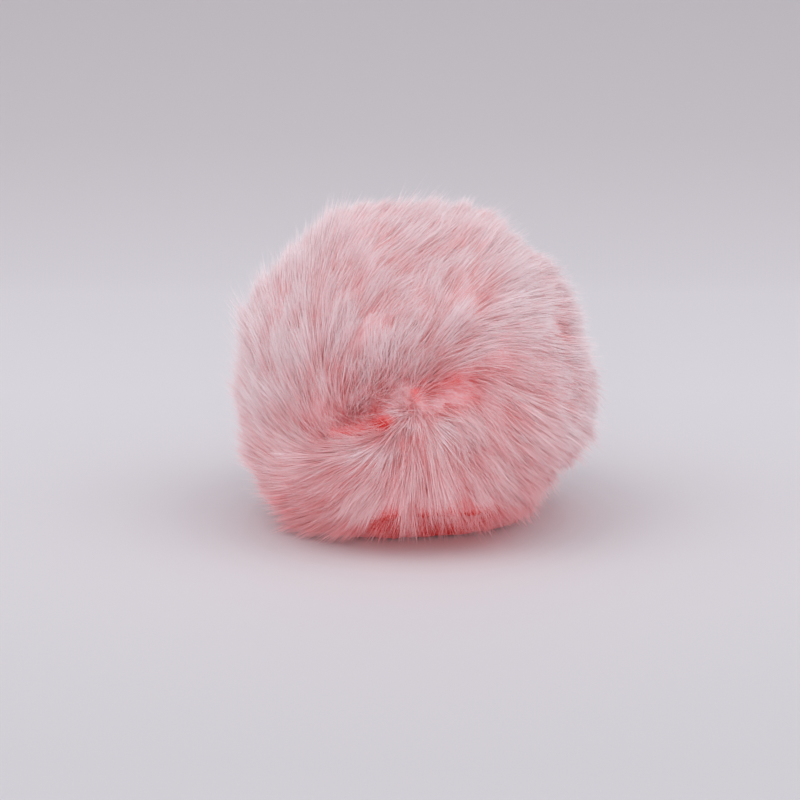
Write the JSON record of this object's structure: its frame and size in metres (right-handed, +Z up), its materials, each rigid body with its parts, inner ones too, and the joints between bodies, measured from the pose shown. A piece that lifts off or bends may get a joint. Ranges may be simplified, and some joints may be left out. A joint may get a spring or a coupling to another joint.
{
  "type": "pom pom",
  "caption": "Round faux-fur pom pom with long pile gathered at one whorl, resting on a small flat spot.",
  "frame": {"origin": "middle of the bounding box at floor level, under the ball", "axes": "+Z up from the floor, -Y towards the gathered whorl of the pile, +X to the right of it"},
  "size_m": [0.0796, 0.079, 0.0677],
  "materials": {
    "pink_fur": "long soft pile, pale rose tips over deeper coral roots"
  },
  "bodies": {
    "root": {"pompom": "pink_fur"}
  },
  "joints": []
}
